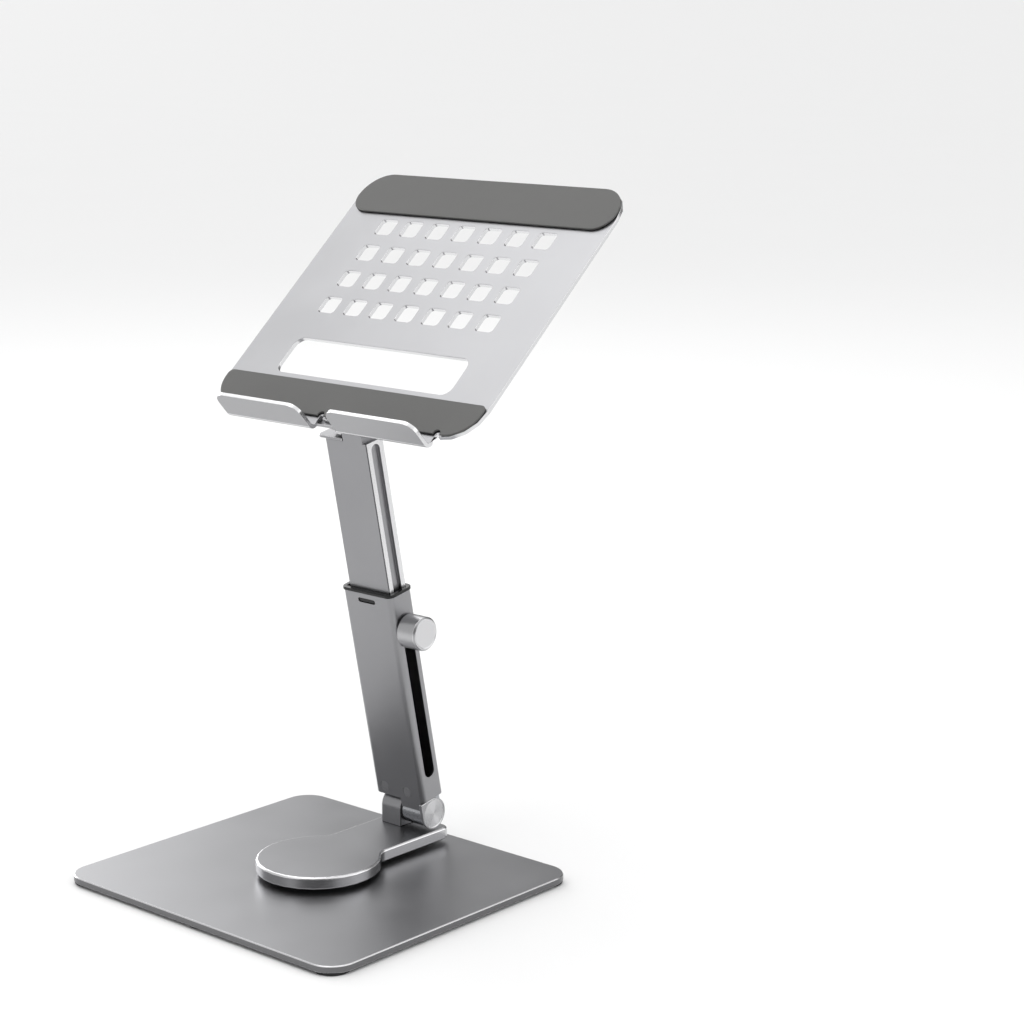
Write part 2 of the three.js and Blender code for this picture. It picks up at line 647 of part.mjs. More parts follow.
function addHingePieces(parent) {
  piece(parent, 'hinge_knuckle', hingeKnuckle(), brightMetal);
  piece(parent, 'hinge_cap', hingeCap(), brightMetal);
  const boreRadius = PIN_RADIUS + RUN_GAP;
  const pinRight = BARREL_RIGHT - SPIGOT_LENGTH - SIDE_GAP;
  const pocketFloor = LUG_LEFT + NUT_POCKET_DEPTH;
  const nutRight = pocketFloor - WASHER_THICKNESS - 2 * SIDE_GAP;
  const nutLeft = nutRight - NUT_LENGTH;
  piece(parent, 'hinge_pin', rodX(PIN_RADIUS, nutLeft - 0.6, pinRight), steel);
  piece(
    parent, 'friction_washer',
    washerX(LUG_RADIUS - 0.5, boreRadius, LUG_RIGHT + SIDE_GAP, BARREL_LEFT - SIDE_GAP), acetal,
  );
  piece(
    parent, 'spring_washer',
    washerX(NUT_RADIUS, boreRadius, nutRight + SIDE_GAP, pocketFloor - SIDE_GAP), steel,
  );
  piece(parent, 'hinge_nut', hexNut(NUT_RADIUS, boreRadius, nutLeft, nutRight), steel);
}

function addTube(parent) {
  piece(parent, 'lower_tube', lowerTube(), satinGrey);
  rivetPlaces().forEach((x, i) => {
    piece(parent, `tube_rivet_${i + 1}`, rivet(x), satinGrey);
  });
  piece(parent, 'tube_collar', tubeCollar(), blackPlastic);
}

// ---------------------------------------------------------------- upper arm (sliding bar)
function upperBar() {
  const section = roundedRect(BAR_WIDTH, BAR_DEPTH, BAR_CORNER, BAR_MIDDLE, 0);
  const body = prism(section, BAR_BOTTOM, BAR_TOP, 0, 4);
  const tongueEnd = rodX(TONGUE_RADIUS, TONGUE_LEFT, TONGUE_RIGHT, 40).translate(0, 0, TRAY_AXIS_S);
  const tongue = box(
    TONGUE_LEFT, TONGUE_RIGHT, -BAR_DEPTH / 2, BAR_DEPTH / 2, BAR_TOP - 1, TRAY_AXIS_S,
  );
  const grooveTop = BAR_TOP - GROOVE_END;
  const grooveShape = roundedRect(
    GROOVE_WIDTH, BAR_LENGTH * 1.5, GROOVE_WIDTH / 2 - 0.01, 0, grooveTop - BAR_LENGTH * 0.75,
  );
  const rightGroove = prismX(grooveShape, BAR_SIDE - GROOVE_DEPTH, BAR_SIDE + 1);
  const leftGroove = prismX(grooveShape, BAR_LEFT - 1, BAR_LEFT + GROOVE_DEPTH);
  const hingeBore = rodX(TRAY_PIN_RADIUS + RUN_GAP, TONGUE_LEFT - 1, TONGUE_RIGHT + 1)
    .translate(0, 0, TRAY_AXIS_S);
  const lockThread = rodX(LOCK_RADIUS + RUN_GAP, BAR_SIDE - LOCK_DEPTH - 1, BAR_SIDE + 1)
    .translate(0, 0, LOCK_HEIGHT);
  const stopThread = rodZ(STOP_SCREW_SHANK + RUN_GAP, BAR_TOP - STOP_SCREW_LENGTH, BAR_TOP + 1, 16)
    .translate(STOP_SCREW_X, 0, 0);
  return cut(join(body, tongue, tongueEnd), rightGroove, leftGroove, hingeBore, lockThread, stopThread);
}

function stopPlate() {
  const right = TONGUE_LEFT - SEAT_GAP;
  const face = BAR_DEPTH / 2 + STOP_MARGIN;
  const z0 = BAR_TOP + SEAT_GAP / 2;
  const plate = prism(
    roundedRect(right - STOP_LEFT, 2 * face, STOP_CORNER, (right + STOP_LEFT) / 2, 0),
    z0, z0 + STOP_THICKNESS, 0, 4,
  );
  const squareEnd = box(STOP_SCREW_X, right, -face, face, z0, z0 + STOP_THICKNESS);
  const hole = countersunkHole(STOP_SCREW_SHANK + RUN_GAP, STOP_SCREW_HEAD + RUN_GAP, 4)
    .rotateX(Math.PI).translate(STOP_SCREW_X, 0, z0 + STOP_THICKNESS);
  return cut(join(plate, squareEnd), hole);
}

function stopScrew() {
  const top = BAR_TOP + SEAT_GAP / 2 + STOP_THICKNESS;
  return latheZ([
    [0, 0], [STOP_SCREW_HEAD, 0], [STOP_SCREW_SHANK, STOP_SCREW_HEAD - STOP_SCREW_SHANK],
    [STOP_SCREW_SHANK, STOP_SCREW_LENGTH], [0, STOP_SCREW_LENGTH],
  ], 16).rotateX(Math.PI).translate(STOP_SCREW_X, 0, top);
}

function addUpperArm(parent) {
  piece(parent, 'upper_bar', upperBar(), satinGrey);
  piece(parent, 'stop_plate', stopPlate(), satinGrey);
  piece(parent, 'stop_screw', stopScrew(), steel);
  const bush = washerX(
    SLOT_WIDTH / 2 - 2 * SIDE_GAP, LOCK_RADIUS + RUN_GAP, BAR_SIDE + SIDE_GAP, TUBE_SIDE - SIDE_GAP,
  );
  piece(parent, 'slot_bush', bush.translate(0, 0, LOCK_HEIGHT), acetal);
}

// ---------------------------------------------------------------- clamp knob
function knobBody() {
  const length = KNOB_LENGTH;
  const bore = LOCK_RADIUS + RUN_GAP;
  const boreDepth = length * KNOB_BORE_SHARE;
  const inner = KNOB_SINK * 2;
  const rim = KNOB_RADIUS - KNOB_BEVEL - KNOB_RIM;
  return latheX([
    [0, boreDepth], [bore, boreDepth], [bore, 0], [KNOB_RADIUS - inner, 0], [KNOB_RADIUS, inner],
    [KNOB_RADIUS, length - KNOB_BEVEL], [KNOB_RADIUS - KNOB_BEVEL, length], [rim, length],
    [rim - KNOB_SINK, length - KNOB_SINK], [0, length - KNOB_SINK],
  ], 40).translate(KNOB_LEFT, 0, LOCK_HEIGHT);
}

function addKnob(parent) {
  piece(parent, 'lock_knob', knobBody(), brightMetal);
  const screwEnd = KNOB_LEFT + KNOB_LENGTH * KNOB_BORE_SHARE - SEAT_GAP;
  const screw = rodX(LOCK_RADIUS, BAR_SIDE - LOCK_DEPTH, screwEnd);
  piece(parent, 'lock_screw', screw.translate(0, 0, LOCK_HEIGHT), steel);
  const washer = washerX(
    KNOB_RADIUS * 0.8, LOCK_RADIUS + RUN_GAP, TUBE_SIDE + SIDE_GAP, KNOB_LEFT - SIDE_GAP,
  );
  piece(parent, 'lock_washer', washer.translate(0, 0, LOCK_HEIGHT), brightMetal);
}

// ---------------------------------------------------------------- tray
// In the tray's group X is across, Y runs up the tray and Z stands out of its front face.
function trayOutline() {
  const height = TRAY_TOP - TRAY_BOTTOM;
  const middle = (TRAY_TOP + TRAY_BOTTOM) / 2;
  const shape = roundedRect(TRAY_WIDTH, height, TRAY_CORNER, 0, middle);
  for (let column = 0; column < HOLE_COLUMNS; column += 1) {
    for (let row = 0; row < HOLE_ROWS; row += 1) {
      const x = (column - (HOLE_COLUMNS - 1) / 2) * HOLE_PITCH_X;
      const t = HOLE_TOP_ROW - row * HOLE_PITCH_T;
      shape.holes.push(roundedRect(HOLE_WIDTH, HOLE_HEIGHT, HOLE_CORNER, x, t));
    }
  }
  const windowMiddle = (WINDOW_LOW + WINDOW_HIGH) / 2;
  shape.holes.push(
    roundedRect(WINDOW_WIDTH, WINDOW_HIGH - WINDOW_LOW, WINDOW_CORNER, 0, windowMiddle),
  );
  return shape;
}

// One hook: a strip bent forward at right angles, drawn as its cross-section in (t, w).
function hook(centre) {
  const outerBend = HOOK_BEND + TRAY_THICKNESS;
  const bendT = outerBend - HOOK_DROP;
  const rootT = TRAY_BOTTOM + 0.5;
  const profile = new THREE.Shape();
  profile.moveTo(rootT, -TRAY_THICKNESS);
  profile.absarc(bendT, HOOK_BEND, outerBend, -Math.PI / 2, -Math.PI, true);
  profile.lineTo(-HOOK_DROP, HOOK_REACH);
  profile.lineTo(-HOOK_DROP + TRAY_THICKNESS, HOOK_REACH);
  profile.absarc(bendT, HOOK_BEND, HOOK_BEND, -Math.PI, -Math.PI / 2, false);
  profile.lineTo(rootT, 0);
  profile.closePath();
  const width = HOOK_OUTER - HOOK_INNER;
  const strip = prismX(profile, centre - width / 2, centre + width / 2, 5);
  const maskHeight = HOOK_REACH + TRAY_THICKNESS + HOOK_CORNER * 2;
  const mask = prismY(
    roundedRect(width, maskHeight, HOOK_CORNER, centre, HOOK_REACH - maskHeight / 2),
    -HOOK_DROP - 1, rootT + 1, 6,
  );
  return common(strip, mask);
}

function reliefPlaces() {
  const half = RELIEF_WIDTH / 2;
  const places = [HOOK_INNER - half, HOOK_OUTER + half];
  return [...places, ...places.map((x) => -x)];
}

function reliefNotch(x, width, top, z0, z1) {
  const bottom = TRAY_BOTTOM - 3;
  const shape = roundedRect(width, top - bottom, width / 2 - 0.01, x, (top + bottom) / 2);
  return prism(shape, z0, z1, 0, 4);
}

function trayScrewPlaces() {
  const places = [];
  for (const x of [-TRAY_SCREW_X, TRAY_SCREW_X]) {
    for (const t of [LEAF_LOW + TRAY_SCREW_INSET, LEAF_HIGH - TRAY_SCREW_INSET]) {
      places.push([x, t]);
    }
  }
  return places;
}

function trayPlate() {
  const sheet = prism(trayOutline(), -TRAY_THICKNESS, 0, 0, 2);
  const hookCentre = (HOOK_INNER + HOOK_OUTER) / 2;
  const notches = reliefPlaces().map((x) => (
    reliefNotch(x, RELIEF_WIDTH, RELIEF_TOP, -TRAY_THICKNESS - 1, 1)
  ));
  const threads = trayScrewPlaces().map(([x, t]) => (
    rodZ(TRAY_SCREW_RADIUS + RUN_GAP, -TRAY_THICKNESS - 1, 1, 16).translate(x, t, 0)
  ));
  return cut(join(sheet, hook(-hookCentre), hook(hookCentre)), ...notches, ...threads);
}

function padOutline(low, high, topCorner, bottomCorner) {
  const half = TRAY_WIDTH / 2 - PAD_INSET;
  const shape = new THREE.Shape();
  shape.absarc(half - bottomCorner, low + bottomCorner, bottomCorner, -Math.PI / 2, 0, false);
  shape.absarc(half - topCorner, high - topCorner, topCorner, 0, Math.PI / 2, false);
  shape.absarc(-half + topCorner, high - topCorner, topCorner, Math.PI / 2, Math.PI, false);
  shape.absarc(-half + bottomCorner, low + bottomCorner, bottomCorner, Math.PI, Math.PI * 1.5, false);
  shape.closePath();
  return shape;
}

function topPad() {
  const high = TRAY_TOP - PAD_INSET;
  const outer = Math.min(TRAY_CORNER - PAD_INSET, (high - TOP_PAD_LOW) * 0.6);
  const inner = Math.min(PAD_INNER_CORNER, high - TOP_PAD_LOW - outer);
  return prism(padOutline(TOP_PAD_LOW, high, outer, inner), PAD_LOW, PAD_LOW + PAD_THICKNESS, 0, 8);
}

function bottomPad() {
  const height = BOTTOM_PAD_HIGH - BOTTOM_PAD_LOW;
  const outer = Math.min(TRAY_CORNER - PAD_INSET, height - 4);
  const pad = prism(
    padOutline(BOTTOM_PAD_LOW, BOTTOM_PAD_HIGH, height - outer - 1, outer),
    PAD_LOW, PAD_LOW + PAD_THICKNESS, 0, 8,
  );
  const notches = reliefPlaces().map((x) => (
    reliefNotch(x, RELIEF_WIDTH + 1.6, RELIEF_TOP + PAD_INSET, PAD_LOW - 1, PAD_LOW + PAD_THICKNESS + 1)
  ));
  return cut(pad, ...notches);
}

// ---------------------------------------------------------------- upper hinge on the tray's back
function trayHinge() {
  const leafMiddle = (LEAF_LOW + LEAF_HIGH) / 2;
  const leaf = prism(
    roundedRect(2 * LEAF_HALF_WIDTH, LEAF_HIGH - LEAF_LOW, LEAF_CORNER, 0, leafMiddle),
    LEAF_BOTTOM, LEAF_TOP, 0, 4,
  );
  const earShape = archShape(EAR_RADIUS, TRAY_AXIS_W - LEAF_BOTTOM - LEAF_THICKNESS / 2);
  const ears = [[LEFT_EAR_LEFT, LEFT_EAR_RIGHT], [RIGHT_EAR_LEFT, RIGHT_EAR_RIGHT]].map(([x0, x1]) => (
    prismX(earShape, x0, x1, 12).rotateX(Math.PI).translate(0, TRAY_AXIS_T, TRAY_AXIS_W)
  ));
  const bore = rodX(TRAY_PIN_RADIUS + RUN_GAP, LEFT_EAR_LEFT - 1, TRAY_PIN_RIGHT)
    .translate(0, TRAY_AXIS_T, TRAY_AXIS_W);
  const holes = trayScrewPlaces().map(([x, t]) => (
    rodZ(TRAY_SCREW_RADIUS + SIDE_GAP, LEAF_BOTTOM - 1, LEAF_TOP + 1, 16).translate(x, t, 0)
  ));
  return cut(join(leaf, ...ears), bore, ...holes);
}

function trayScrew(x, t) {
  const headTop = LEAF_BOTTOM - SEAT_GAP / 2;
  const head = TRAY_SCREW_RADIUS * 1.8;
  const socket = TRAY_SCREW_RADIUS * 0.7;
  return latheZ([
    [0, headTop - 0.8], [socket, headTop - 0.8], [socket, headTop - 1.6],
    [head * 0.75, headTop - 1.6], [head, headTop - 0.9], [head, headTop], [TRAY_SCREW_RADIUS, headTop],
    [TRAY_SCREW_RADIUS, -0.3], [0, -0.3],
  ], 24).translate(x, t, 0);
}

function addTray(parent) {
  piece(parent, 'tray_plate', trayPlate(), satinGrey);
  piece(parent, 'top_pad', topPad(), silicone);
  piece(parent, 'bottom_pad', bottomPad(), silicone);
  piece(parent, 'tray_hinge', trayHinge(), satinGrey);
  trayScrewPlaces().forEach(([x, t], i) => {
    piece(parent, `tray_screw_${i + 1}`, trayScrew(x, t), steel);
  });
  const boreRadius = TRAY_PIN_RADIUS + RUN_GAP;
  const nutRight = LEFT_EAR_LEFT - WASHER_THICKNESS - 2 * SIDE_GAP;
  const nutLeft = nutRight - TRAY_NUT_LENGTH;
  const discRadius = EAR_RADIUS - 0.1;
  const onAxis = {
    tray_pin: [rodX(TRAY_PIN_RADIUS, nutLeft - 0.6, TRAY_PIN_RIGHT - SIDE_GAP), steel],
    tray_nut: [hexNut(TRAY_NUT_RADIUS, boreRadius, nutLeft, nutRight), steel],
    tray_washer: [
      washerX(TRAY_NUT_RADIUS + 0.4, boreRadius, nutRight + SIDE_GAP, LEFT_EAR_LEFT - SIDE_GAP), steel,
    ],
    friction_disc_left: [
      washerX(discRadius, boreRadius, LEFT_EAR_RIGHT + SIDE_GAP, TONGUE_LEFT - SIDE_GAP), acetal,
    ],
    friction_disc_right: [
      washerX(discRadius, boreRadius, TONGUE_RIGHT + SIDE_GAP, RIGHT_EAR_LEFT - SIDE_GAP), acetal,
    ],
  };
  for (const [name, [geometry, material]] of Object.entries(onAxis)) {
    piece(parent, name, geometry.translate(0, TRAY_AXIS_T, TRAY_AXIS_W), material);
  }
}

// ---------------------------------------------------------------- assembly
const stand = new THREE.Group();
addBase(stand);

const swivel = new THREE.Group();
addSwivel(swivel);
stand.add(swivel);

const arm = new THREE.Group();
arm.position.set(0, HINGE_Y, HINGE_Z);
arm.rotation.x = THREE.MathUtils.degToRad(ARM_LEAN);
addHingePieces(arm);
swivel.add(arm);

const shaft = new THREE.Group();
shaft.position.set(0, TUBE_SETBACK, 0);
addTube(shaft);
arm.add(shaft);

const slider = new THREE.Group();
addUpperArm(slider);
addKnob(slider);
shaft.add(slider);

const trayPivot = new THREE.Group();
trayPivot.position.set(0, 0, TRAY_AXIS_S);
trayPivot.rotation.x = THREE.MathUtils.degToRad(TRAY_TILT - ARM_LEAN);
slider.add(trayPivot);

const tray = new THREE.Group();
tray.position.set(0, -TRAY_AXIS_T, -TRAY_AXIS_W);
addTray(tray);
trayPivot.add(tray);

export default stand;
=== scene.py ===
"""Looks of the folding tablet stand: finished copies of the CAD pieces, materials, light and camera."""

import json
import math

import bmesh
import bpy
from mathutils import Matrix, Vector


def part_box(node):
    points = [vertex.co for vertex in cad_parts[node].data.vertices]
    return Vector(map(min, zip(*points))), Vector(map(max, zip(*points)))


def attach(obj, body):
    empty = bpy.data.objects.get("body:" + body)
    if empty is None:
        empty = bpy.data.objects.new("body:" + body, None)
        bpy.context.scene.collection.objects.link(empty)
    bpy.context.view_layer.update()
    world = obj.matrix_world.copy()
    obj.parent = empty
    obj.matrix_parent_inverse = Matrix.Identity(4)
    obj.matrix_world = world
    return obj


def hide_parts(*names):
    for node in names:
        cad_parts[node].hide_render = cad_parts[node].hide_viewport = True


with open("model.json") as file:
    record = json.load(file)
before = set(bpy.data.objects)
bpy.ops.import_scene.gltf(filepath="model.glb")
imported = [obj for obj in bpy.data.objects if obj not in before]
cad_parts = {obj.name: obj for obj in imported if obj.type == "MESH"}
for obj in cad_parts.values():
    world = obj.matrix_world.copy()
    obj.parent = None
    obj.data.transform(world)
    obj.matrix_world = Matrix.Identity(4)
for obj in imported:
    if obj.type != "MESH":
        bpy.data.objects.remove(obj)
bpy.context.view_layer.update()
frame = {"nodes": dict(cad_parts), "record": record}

MM = 0.001  # in metres
RECORD = frame["record"]
BODIES = RECORD["behaviour"]["bodies"]
BODY_OF = {node: body for body, nodes in BODIES.items() for node in nodes}

SHARP_ANGLE = math.radians(28)
FLAT_ANGLE = math.radians(0.4)
FLAT_WEIGHT = 90
WELD = 0.002 * MM

# Limits on one component of a face's unit normal, when faces are sorted by their direction.
SQUARE_ON = 0.95
NEARLY_ON = 0.9
TURNED = 0.3
SLIGHTLY_TURNED = 0.2
EDGE_ON = 0.1

# The middle band of a noise, where nearly all of its values lie.
NOISE_LOW = 0.3
NOISE_HIGH = 0.7

# The tray leans back. The front of its sheet is PAD_RISE behind the pad's face, and all of the
# sheet lies within SHEET_DEPTH of it. What stands HOOK_START or more in front belongs to a hook.
TRAY_TILT = math.radians(41.3)
TRAY_NORMAL = Vector((0, -math.sin(TRAY_TILT), math.cos(TRAY_TILT)))
TRAY_UP = Vector((0, math.cos(TRAY_TILT), math.sin(TRAY_TILT)))
PAD_FACE = max(v.co.dot(TRAY_NORMAL) for v in frame["nodes"]["top_pad"].data.vertices)
PAD_RISE = 1.3 * MM
SHEET_FACE = PAD_FACE - PAD_RISE
SHEET_DEPTH = 2.05 * MM
HOOK_START = 2 * MM

# The bar's sides. A face nearer to one of them than this is outside the grooves.
BAR_LEFT, BAR_RIGHT = (corner.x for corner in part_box("upper_bar"))
RAIL_DEPTH = 0.7 * MM

# The camera at the photographed view: place in metres, angles in degrees, lens in millimetres.
CAMERA_PLACE = (0.7948, -0.7664, 0.4125)
CAMERA_PITCH = 90 - 12.019
CAMERA_TURN = 41.309
CAMERA_LENS = 86.63
SENSOR = 36

# The floor's half width in metres: its far edge is at the horizon.
FLOOR_HALF = 300

# The dome's own strength, and the broad cards on it: turn to the right of the view's direction and
# height, both in degrees; where the card fades in and where it is full, as cosines of the angle
# from its middle; and how much it adds.
DOME = 1.16
CARDS = (
    (30, 12, 0.64, 0.88, -0.94),
    (180, 8, 0.66, 0.92, -0.98),
    (-33, 13, 0.86, 0.97, 2.0),
    (-92, 22, 0.76, 0.94, -0.5),
    (95, 10, 0.86, 0.98, 0.6),
)

# Soft lamps: name, place and size in metres, and power in watts. All of them aim at AIM.
AIM = (0, 0, 0.15)
LAMPS = (
    ("overhead", (-0.3, 0.1, 1.6), (1.6, 1.6), 8),
    ("back_key", (-1.0, 0.9, 1.4), (0.9, 1.2), 3),
)

# Reflectances of the finishes, and of painted shade, a painted highlight and a painted dark reflection,
# in linear light.
BASE_GREY = (0.30, 0.30, 0.31)
# Painted shade: the base plate's upright sides, darker than its top.
PAINTED_SHADE_GREY = (0.17, 0.17, 0.175)
KNOB_GREY = (0.46, 0.46, 0.47)
BARREL_GREY = (0.40, 0.41, 0.43)
# Painted dark reflection: the bar's corner line and the hinge lug's rounded edges.
DARK_REFLECTION_GREY = (0.11, 0.11, 0.115)
RIM = (0.58, 0.58, 0.59)
ARM_GREY = (0.30, 0.30, 0.31)
TRAY_GREY = (0.36, 0.36, 0.37)
# A light metal: the metal's own on cut edges and chamfers, and a painted highlight on the swivel
# plate's rounded rims.
LIGHT_METAL_GREY = (0.72, 0.72, 0.73)
STEEL = (0.56, 0.56, 0.57)
CAP_GREY = (0.50, 0.50, 0.51)
KNOB_END = (0.62, 0.62, 0.63)
PAPER = (0.86, 0.86, 0.86)
SILICONE = (0.115, 0.115, 0.112)
RUBBER = (0.025, 0.025, 0.026)
BLACK = (0.012, 0.012, 0.013)
ACETAL = (0.03, 0.03, 0.032)


# ---------------------------------------------------------------- node helpers
def start_material(name):
    """A material with one Principled shader wired to its output."""
    material = bpy.data.materials.new(name)
    material.use_nodes = True
    tree = material.node_tree
    tree.nodes.clear()
    shader = tree.nodes.new("ShaderNodeBsdfPrincipled")
    output = tree.nodes.new("ShaderNodeOutputMaterial")
    tree.links.new(shader.outputs["BSDF"], output.inputs["Surface"])
    return material, tree, shader


def object_coordinates(tree, stretch=(1, 1, 1)):
    place = tree.nodes.new("ShaderNodeTexCoord")
    mapping = tree.nodes.new("ShaderNodeMapping")
    mapping.inputs["Scale"].default_value = stretch
    tree.links.new(place.outputs["Object"], mapping.inputs["Vector"])
    return mapping.outputs["Vector"]


def noise(tree, size_mm, stretch=(1, 1, 1), detail=3.0):
    """Noise whose blotches are about size_mm across."""
    texture = tree.nodes.new("ShaderNodeTexNoise")
    texture.inputs["Scale"].default_value = 1 / (size_mm * MM)
    texture.inputs["Detail"].default_value = detail
    tree.links.new(object_coordinates(tree, stretch), texture.inputs["Vector"])
    return texture.outputs["Fac"]


def spread(tree, value, low, high):
    """Maps the middle of a noise onto the range low..high."""
    node = tree.nodes.new("ShaderNodeMapRange")
    node.inputs["From Min"].default_value = NOISE_LOW
    node.inputs["From Max"].default_value = NOISE_HIGH
    node.inputs["To Min"].default_value = low
    node.inputs["To Max"].default_value = high
    tree.links.new(value, node.inputs["Value"])
    return node.outputs["Result"]


def tinted(tree, value, color, change):
    """The colour, a little darker and lighter as the noise says."""
    ramp = tree.nodes.new("ShaderNodeValToRGB")
    ramp.color_ramp.elements[0].position = NOISE_LOW
    ramp.color_ramp.elements[1].position = NOISE_HIGH
    ramp.color_ramp.elements[0].color = [c * (1 - change) for c in color] + [1]
    ramp.color_ramp.elements[1].color = [c * (1 + change) for c in color] + [1]
    tree.links.new(value, ramp.inputs["Fac"])
    return ramp.outputs["Color"]


def vary(tree, shader, value, color, roughness, change, wear):
    """Colour and roughness that vary a little, by change and by wear, as the noise says."""
    tree.links.new(tinted(tree, value, color, change), shader.inputs["Base Color"])
    rough = spread(tree, value, roughness - wear, roughness + wear)
    tree.links.new(rough, shader.inputs["Roughness"])


def bump(tree, shader, height, strength, depth_mm):
    """Fine relief from a height between 0 and 1."""
    node = tree.nodes.new("ShaderNodeBump")
    node.inputs["Strength"].default_value = strength
    node.inputs["Distance"].default_value = depth_mm * MM
    tree.links.new(height, node.inputs["Height"])
    tree.links.new(node.outputs["Normal"], shader.inputs["Normal"])


def vector_math(tree, operation, first, second=None, scale=None):
    """A vector node's result, from one or two vectors or a vector and a scale."""
    node = tree.nodes.new("ShaderNodeVectorMath")
    node.operation = operation
    tree.links.new(first, node.inputs[0])
    if second is not None:
        tree.links.new(second, node.inputs[1])
    if scale is not None:
        tree.links.new(scale, node.inputs["Scale"])
    return node.outputs["Value"] if operation == "LENGTH" else node.outputs["Vector"]


# ---------------------------------------------------------------- materials
def blasted_metal(name, color, roughness):
    """Bead-blasted and anodised aluminium: a fine even grain with faint large-scale variation."""
    material, tree, shader = start_material(name)
    shader.inputs["Metallic"].default_value = 1
    cloud = noise(tree, size_mm=35)
    vary(tree, shader, cloud, color, roughness, change=0.03, wear=0.02)
    bump(tree, shader, noise(tree, size_mm=0.22, detail=2), strength=0.12, depth_mm=0.02)
    return material


def brushed_metal(name, color, roughness, stretch):
    """Metal with fine straight brush lines: stretch is small along the lines and 1 across them."""
    material, tree, shader = start_material(name)
    shader.inputs["Metallic"].default_value = 1
    shader.inputs["Anisotropic"].default_value = 0.4
    lines = noise(tree, size_mm=0.25, stretch=stretch, detail=4)
    vary(tree, shader, lines, color, roughness, change=0.06, wear=0.04)
    bump(tree, shader, lines, strength=0.1, depth_mm=0.01)
    return material


def cut_metal(name, color, roughness):
    """Smooth machined metal, such as the line that a diamond cutter leaves on an edge."""
    material, tree, shader = start_material(name)
    shader.inputs["Metallic"].default_value = 1
    marks = noise(tree, size_mm=0.4, detail=4)
    vary(tree, shader, marks, color, roughness, change=0.03, wear=0.03)
    bump(tree, shader, marks, strength=0.05, depth_mm=0.01)
    return material


def turned_metal(name, color, roughness, axis, pitch_mm=0.12, tilt=0.32):
    """A lathe-turned face: fine grooves in circles round an axis along X, through the point axis.
    The grooves tip the normal towards and away from the axis, which spreads highlights into fans."""
    material, tree, shader = start_material(name)
    shader.inputs["Metallic"].default_value = 1
    place = tree.nodes.new("ShaderNodeTexCoord")
    mapping = tree.nodes.new("ShaderNodeMapping")
    mapping.inputs["Location"].default_value = (0, -axis.y, -axis.z)
    mapping.inputs["Scale"].default_value = (0, 1, 1)
    tree.links.new(place.outputs["Object"], mapping.inputs["Vector"])
    spoke = mapping.outputs["Vector"]
    phase = tree.nodes.new("ShaderNodeMath")
    phase.operation = "MULTIPLY"
    phase.inputs[1].default_value = 2 * math.pi / (pitch_mm * MM)
    tree.links.new(vector_math(tree, "LENGTH", spoke), phase.inputs[0])
    wave = tree.nodes.new("ShaderNodeMath")
    wave.operation = "SINE"
    tree.links.new(phase.outputs["Value"], wave.inputs[0])
    depth = tree.nodes.new("ShaderNodeMath")
    depth.operation = "MULTIPLY"
    depth.inputs[1].default_value = tilt
    tree.links.new(wave.outputs["Value"], depth.inputs[0])
    outward = vector_math(tree, "NORMALIZE", spoke)
    lean = vector_math(tree, "SCALE", outward, scale=depth.outputs["Value"])
    turn = tree.nodes.new("ShaderNodeVectorTransform")
    turn.vector_type = "VECTOR"
    turn.convert_from = "OBJECT"
    turn.convert_to = "WORLD"
    tree.links.new(lean, turn.inputs["Vector"])
    surface = tree.nodes.new("ShaderNodeNewGeometry")
    tipped = vector_math(tree, "ADD", surface.outputs["Normal"], turn.outputs["Vector"])
    tree.links.new(vector_math(tree, "NORMALIZE", tipped), shader.inputs["Normal"])
    marks = noise(tree, size_mm=0.3, detail=4)
    vary(tree, shader, marks, color, roughness, change=0.04, wear=0.03)
    return material


def soft_material(name, color, roughness, grain_mm, depth_mm):
    """Silicone or rubber: matt, with a fine moulded grain."""
    material, tree, shader = start_material(name)
    cloud = noise(tree, size_mm=18)
    vary(tree, shader, cloud, color, roughness, change=0.06, wear=0.05)
    shader.inputs["Specular IOR Level"].default_value = 0.35
    bump(tree, shader, noise(tree, grain_mm, detail=2), strength=0.3, depth_mm=depth_mm)
    return material


def moulded_plastic(name, color, roughness):
    """Moulded plastic: even colour, slight flow marks in the gloss, a very fine spark-eroded grain."""
    material, tree, shader = start_material(name)
    flow = noise(tree, size_mm=4)
    vary(tree, shader, flow, color, roughness, change=0.1, wear=0.05)
    shader.inputs["Specular IOR Level"].default_value = 0.3
    bump(tree, shader, noise(tree, size_mm=0.15, detail=2), strength=0.08, depth_mm=0.01)
    return material


ARM_LINES = (1, 1, 0.02)
RIM_LINES = (0.05, 0.05, 1)
BASE_METAL = blasted_metal("base_metal", BASE_GREY, roughness=0.34)
ARM_METAL = blasted_metal("arm_metal", ARM_GREY, roughness=0.34)
BAR_METAL = blasted_metal("bar_metal", ARM_GREY, roughness=0.32)
TRAY_METAL = blasted_metal("tray_metal", TRAY_GREY, roughness=0.34)
SWIVEL_RIM = brushed_metal("swivel_rim", RIM, roughness=0.2, stretch=RIM_LINES)
RAIL_METAL = brushed_metal("rail_metal", LIGHT_METAL_GREY, roughness=0.26, stretch=ARM_LINES)
# Light metal for cut edges and chamfers, and a painted highlight on the swivel plate's rounded rims.
CUT_AND_HIGHLIGHT_METAL = cut_metal("cut_and_highlight_edge", LIGHT_METAL_GREY, roughness=0.24)
# Painted shade: a darker metal for the base plate's upright sides.
PAINTED_SHADE_METAL = cut_metal("base_painted_shade", PAINTED_SHADE_GREY, roughness=0.3)
BARREL_METAL = cut_metal("barrel_metal", BARREL_GREY, roughness=0.27)
